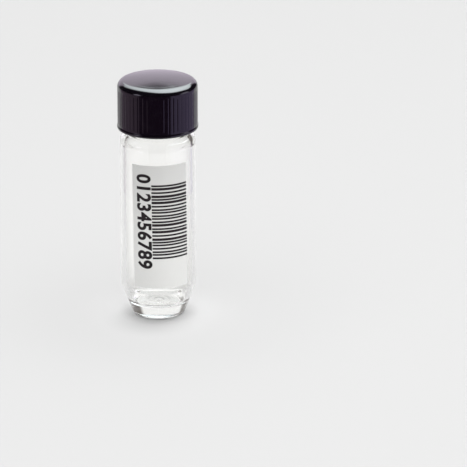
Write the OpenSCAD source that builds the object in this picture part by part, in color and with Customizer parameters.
// Screw-cap glass sample vial: a 15 x 45 mm tubing-glass vial with a bevelled base and a
// 13-425 screw finish, a ribbed moulded cap, the sealing liner inside the cap and a
// self-adhesive label on the body. Millimetres, +Z up, origin at the centre of the base.

/* [Glass body] */
// Outside diameter of the body
body_d = 14.75; // [14.2:0.05:15.4]
// Height of the glass from base to lip
glass_h = 45; // [42:0.5:60]
// Wall of the body
body_wall = 1.05; // [0.8:0.05:1.4]
// Diameter of the foot, before its edge is rounded
foot_d = 10.05; // [8.5:0.05:11.5]
// Height of the bevel between foot and body
bevel_h = 6.25; // [4.5:0.05:6.5]
// Glass under the cavity
base_t = 2.7; // [1.4:0.1:3.2]
// Rounding of the foot's edge
foot_edge_r = 0.7; // [0.3:0.05:1.2]
// Rounding where the bevel meets the body
bevel_edge_r = 2.2; // [0.5:0.1:4]
// Rounding at the bottom of the cavity
cavity_r = 1.6; // [0.4:0.1:2]

/* [Neck and lip] */
// Diameter of the neck at the root of the thread
neck_d = 11.3; // [10.9:0.05:11.6]
// Bore through the neck
bore_d = 8.6; // [7.6:0.1:9]
// Height of the finish, from the top of the shoulder to the lip
finish_h = 7.7; // [7.4:0.05:9]
// Fall of the shoulder, in degrees from level
shoulder_slope = 20; // [12:1:26]
// Rounding of the shoulder's outer edge
shoulder_r = 1.4; // [0.6:0.1:1.5]
// Rounding inside the shoulder
shoulder_inner_r = 1.6; // [0.4:0.1:1.8]
// Fillet between shoulder and neck
neck_root_r = 0.9; // [0.3:0.1:1]
// Rounding of the lip's outer edge
lip_outer_r = 0.45; // [0.2:0.05:0.5]
// Rounding of the lip's inner edge
lip_inner_r = 0.35; // [0.15:0.05:0.45]

/* [Thread] */
// Threads per inch
threads_per_inch = 12; // [11:0.5:13]
// Diameter over the glass thread
thread_d = 12.9; // [12.4:0.05:13.1]
// Angle of the thread's flanks, in degrees from square to the axis
flank_angle = 30; // [20:1:34]
// Flat on the crest of both threads
crest_w = 0.4; // [0.25:0.05:0.5]
// Turns of the glass thread
glass_turns = 1.75; // [1.25:0.25:2]
// Turns of the cap thread
cap_turns = 1.5; // [1:0.25:1.75]
// From the lip down to the middle of the glass thread's upper end
thread_drop = 1.5; // [1.3:0.05:1.8]
// Part of a turn over which a thread rises to full height
thread_lead = 0.12; // [0.08:0.01:0.2]

/* [Cap] */
// Wall of the ribbed skirt round the bore
cap_wall = 1.15; // [0.9:0.05:1.6]
// How far the plain rim at the skirt's foot stands out from it
rim_step = 0.1; // [0.05:0.05:0.3]
// Height of the plain rim
rim_h = 0.75; // [0.4:0.05:1.2]
// Rounding of the rim's lower edge
rim_edge_r = 0.35; // [0.1:0.05:0.5]
// Height of the cap, without the crown of its top
cap_h = 9.65; // [9.2:0.05:9.8]
// Thickness of the cap's top at its edge
cap_top_t = 1.35; // [1.2:0.05:2.2]
// Rise of the top's crown
crown_h = 0.4; // [0.1:0.05:0.8]
// Rounding of the top's edge
cap_edge_r = 1.3; // [0.4:0.05:1.5]
// Number of ribs round the skirt
rib_count = 56; // [40:1:80]
// Depth of the grooves between the ribs
groove_depth = 0.1; // [0.1:0.02:0.35]
// Width of a groove at the skirt's surface
groove_w = 0.34; // [0.3:0.02:0.5]
// Lead-in chamfer at the cap's mouth
mouth_chamfer = 0.35; // [0.2:0.05:0.5]

/* [Liner] */
// Thickness of the sealing liner
liner_t = 1.4; // [1:0.1:2]

/* [Label] */
// Width of the label, measured round the body
label_w = 11.3; // [8:0.1:20]
// Height of the label
label_h = 25; // [16:0.2:26]
// Thickness of the label stock
label_t = 0.1; // [0.06:0.02:0.2]
// Height of the label's lower edge above the base
label_z = 7.5; // [7.2:0.05:8]

/* [Clearances] */
// Radial gap between the glass thread's crest and the cap's bore
thread_gap = 0.2; // [0.1:0.05:0.3]
// Radial gap between the cap thread's crest and the neck
neck_gap = 0.25; // [0.15:0.05:0.35]
// Gap left along the axis between the flanks that bear when the cap is tight
flank_gap = 0.08; // [0.06:0.01:0.15]
// Radial gap between the liner and the cap's bore
liner_gap = 0.3; // [0.15:0.05:0.4]
// Adhesive between label and glass
glue_t = 0.01; // [0.01:0.01:0.05]

/* [Hidden] */

$fn = 96;
arc_steps = 8;
thread_steps = 36; // steps of a thread in one turn
buried = 0.25;     // how far a thread's root runs into the wall that carries it
sunk = 0.1;        // how far its ends start below that wall, as a share of its height
spare = 1;         // how far a cutting shape runs past what it cuts
groove_spare = 0.1;  // the same for a groove's cutter, which stays clear of its neighbours
groove_margin = 0.1; // skirt left plain at each end of a groove

// Glass
body_r = body_d / 2;
inner_r = body_r - body_wall;
foot_r = foot_d / 2;
neck_r = neck_d / 2;
bore_r = bore_d / 2;
bevel_run = (body_r - foot_r) / bevel_h; // outward travel for each millimetre of height
bevel_wall_x = body_wall * sqrt(1 + bevel_run * bevel_run);
finish_z = glass_h - finish_h;
shoulder_z = finish_z - (body_r - neck_r) * tan(shoulder_slope);
shoulder_drop = body_wall / cos(shoulder_slope);

// Thread
pitch = 25.4 / threads_per_inch;
thread_r = thread_d / 2;
cap_bore_r = thread_r + thread_gap;
cap_crest_r = neck_r + neck_gap;
glass_thread_z = glass_h - thread_drop - glass_turns * pitch; // middle of the glass thread's lower end
bearing_offset = crest_w + (thread_r - cap_crest_r) * tan(flank_angle) + flank_gap;

// Cap and liner
seat_z = glass_h + liner_t; // underside of the cap's top
cap_edge_z = seat_z + cap_top_t;
cap_z = cap_edge_z - cap_h;
cap_r = cap_bore_r + cap_wall;
rim_r = cap_r + rim_step;
liner_r = cap_bore_r - liner_gap;
crown_r = (pow(cap_r - cap_edge_r, 2) + pow(crown_h, 2)) / (2 * crown_h) + cap_edge_r;
cap_thread_z = glass_h - (cap_turns + 0.45) * pitch; // middle of the cap thread's lower end
cap_thread_from = (cap_thread_z + bearing_offset - glass_thread_z) / pitch * 360; // in step with the glass

// ---------- outlines ----------

// Points of an arc
function arc(centre, r, from, to, steps = arc_steps) =
    [for (i = [0:steps]) let (a = from + (to - from) * i / steps)
        centre + r * [cos(a), sin(a)]];

function unit(v) = v / norm(v);

// The arc that rounds corner b, with radius r, on the way from a to c
function rounded_corner(a, b, c, r) =
    let (
        back = unit(a - b),
        ahead = unit(c - b),
        half = acos(back * ahead) / 2,
        centre = b + unit(back + ahead) * r / sin(half),
        first = b + back * r / tan(half) - centre,
        turn = (180 - 2 * half) * (cross(back, ahead) > 0 ? -1 : 1),
        start = atan2(first[1], first[0])
    )
    arc(centre, r, start, start + turn);

// An outline from corners [x, z, rounding]; a rounding of 0 keeps the corner sharp
function outline(corners) =
    let (n = len(corners))
    [for (i = [0:n - 1])
        let (
            here = corners[i],
            b = [here[0], here[1]],
            before = corners[(i + n - 1) % n],
            after = corners[(i + 1) % n]
        )
        each here[2] == 0 ? [b]
            : rounded_corner([before[0], before[1]], b, [after[0], after[1]], here[2])];

// ---------- helical thread ----------

// Height of a thread, as a share of its full height, t turns from its start. The first and last
// sections lie a little below the wall, so that the thread grows out of it.
function thread_share(t, turns) = min(1, min(t, turns - t) / thread_lead * (1 + sunk) - sunk);

// Section of a thread that stands from radius root to radius crest, as [radius, height] points.
// The crest has chamfered corners, and the flanks run on into the wall that carries the thread.
function thread_section(root, crest, share) =
    let (
        out = crest > root ? 1 : -1,
        top = root + (crest - root) * share,
        half_top = crest_w / 2 + abs(crest - top) * tan(flank_angle),
        half_base = crest_w / 2 + (abs(crest - root) + buried) * tan(flank_angle),
        corner = crest_w * 0.3
    )
    [
        [root - out * buried, -half_base],
        [top - out * corner, -half_top - corner * tan(flank_angle)],
        [top, -half_top + corner],
        [top, half_top - corner],
        [top - out * corner, half_top + corner * tan(flank_angle)],
        [root - out * buried, half_base]
    ];

// A right-hand thread whose lower end is centred at height z, at angle from
module helical_thread(root, crest, z, from, turns) {
    steps = ceil(turns * thread_steps);
    sections = [for (i = [0:steps]) thread_section(root, crest, thread_share(turns * i / steps, turns))];
    m = len(sections[0]);
    points = [
        for (i = [0:steps])
            let (a = from + 360 * turns * i / steps, rise = z + pitch * turns * i / steps)
            for (p = sections[i]) [p[0] * cos(a), p[0] * sin(a), p[1] + rise]
    ];
    sides = [
        for (i = [0:steps - 1], j = [0:m - 1])
            let (a = i * m + j, b = i * m + (j + 1) % m)
            each [[a, b, b + m], [a, b + m, a + m]]
    ];
    first_end = [for (j = [1:m - 2]) [0, j + 1, j]];
    last_end = [for (j = [1:m - 2]) [steps * m, steps * m + j, steps * m + j + 1]];
    faces = concat(sides, first_end, last_end);
    inward = crest < root;
    polyhedron(points = points, faces = inward ? [for (f = faces) [f[0], f[2], f[1]]] : faces);
}

// ---------- glass ----------

module glass_vial() {
    color([0.90, 0.94, 0.93, 0.35])
    union() {
        rotate_extrude()
            polygon(outline([
                [0, 0, 0],
                [foot_r, 0, foot_edge_r],
                [body_r, bevel_h, bevel_edge_r],
                [body_r, shoulder_z, shoulder_r],
                [neck_r, finish_z, neck_root_r],
                [neck_r, glass_h, lip_outer_r],
                [bore_r, glass_h, lip_inner_r],
                [bore_r, finish_z - shoulder_drop + (neck_r - bore_r) * tan(shoulder_slope), body_wall],
                [inner_r, shoulder_z - shoulder_drop + body_wall * tan(shoulder_slope), shoulder_inner_r],
                [inner_r, (inner_r - foot_r + bevel_wall_x) / bevel_run, bevel_edge_r],
                [foot_r - bevel_wall_x + base_t * bevel_run, base_t, cavity_r],
                [0, base_t, 0]
            ]));
        helical_thread(neck_r, thread_r, glass_thread_z, 0, glass_turns);
    }
}

// ---------- cap ----------

// Outside of the cap: plain rim, straight skirt, rounded edge and a crown that runs smoothly into it
module cap_outside() {
    sweep = asin((cap_r - cap_edge_r) / (crown_r - cap_edge_r));
    edge = arc([cap_r - cap_edge_r, cap_edge_z - cap_edge_r], cap_edge_r, 0, 90 - sweep);
    crown = arc([0, cap_edge_z + crown_h - crown_r], crown_r, 90 - sweep, 90);
    foot = arc([rim_r - rim_edge_r, cap_z + rim_edge_r], rim_edge_r, -90, 0);
    rotate_extrude()
        polygon(concat(
            [[0, cap_z]],
            foot,
            [[rim_r, cap_z + rim_h - rim_step], [cap_r, cap_z + rim_h]],
            edge,
            [for (i = [1:arc_steps]) crown[i]]
        ));
}

// Bore of the cap, up to the seat of the liner, with a lead-in at its mouth
module cap_bore() {
    rotate_extrude()
        polygon([
            [0, cap_z - spare],
            [cap_bore_r + mouth_chamfer + spare, cap_z - spare],
            [cap_bore_r, cap_z + mouth_chamfer],
            [cap_bore_r, seat_z],
            [0, seat_z]
        ]);
}

// One groove between two ribs, along the skirt on the +X side; both of its ends run out at 45 degrees
module groove() {
    floor_w = groove_w * 0.35;
    depth = groove_depth + groove_spare;
    half_mouth = floor_w / 2 + (groove_w - floor_w) / 2 * depth / groove_depth;
    low = cap_z + rim_h + groove_margin;
    high = cap_edge_z - cap_edge_r - groove_margin;
    translate([cap_r - groove_depth, 0, 0])
        intersection() {
            translate([0, 0, low])
                linear_extrude(high - low)
                    polygon([[0, -floor_w / 2], [depth, -half_mouth], [depth, half_mouth], [0, floor_w / 2]]);
            rotate([90, 0, 0])
                linear_extrude(4 * half_mouth, center = true)
                    polygon([
                        [0, low + groove_depth],
                        [depth, low + groove_depth - depth],
                        [depth, high - groove_depth + depth],
                        [0, high - groove_depth]
                    ]);
        }
}

module screw_cap() {
    color([0.055, 0.045, 0.06])
    union() {
        difference() {
            cap_outside();
            cap_bore();
            for (i = [0:rib_count - 1])
                rotate([0, 0, (i + 0.5) * 360 / rib_count])
                    groove();
        }
        helical_thread(cap_bore_r, cap_crest_r, cap_thread_z, cap_thread_from, cap_turns);
    }
}

// ---------- liner and label ----------

module cap_liner() {
    color([0.78, 0.52, 0.45])
        translate([0, 0, glass_h])
            cylinder(r = liner_r, h = liner_t);
}

module label() {
    spread = label_w / (body_r + glue_t) * 180 / PI;
    color([0.85, 0.85, 0.83])
        rotate([0, 0, -90 - spread / 2])
            rotate_extrude(angle = spread)
                translate([body_r + glue_t, label_z])
                    square([label_t, label_h]);
}

glass_vial();
screw_cap();
cap_liner();
label();
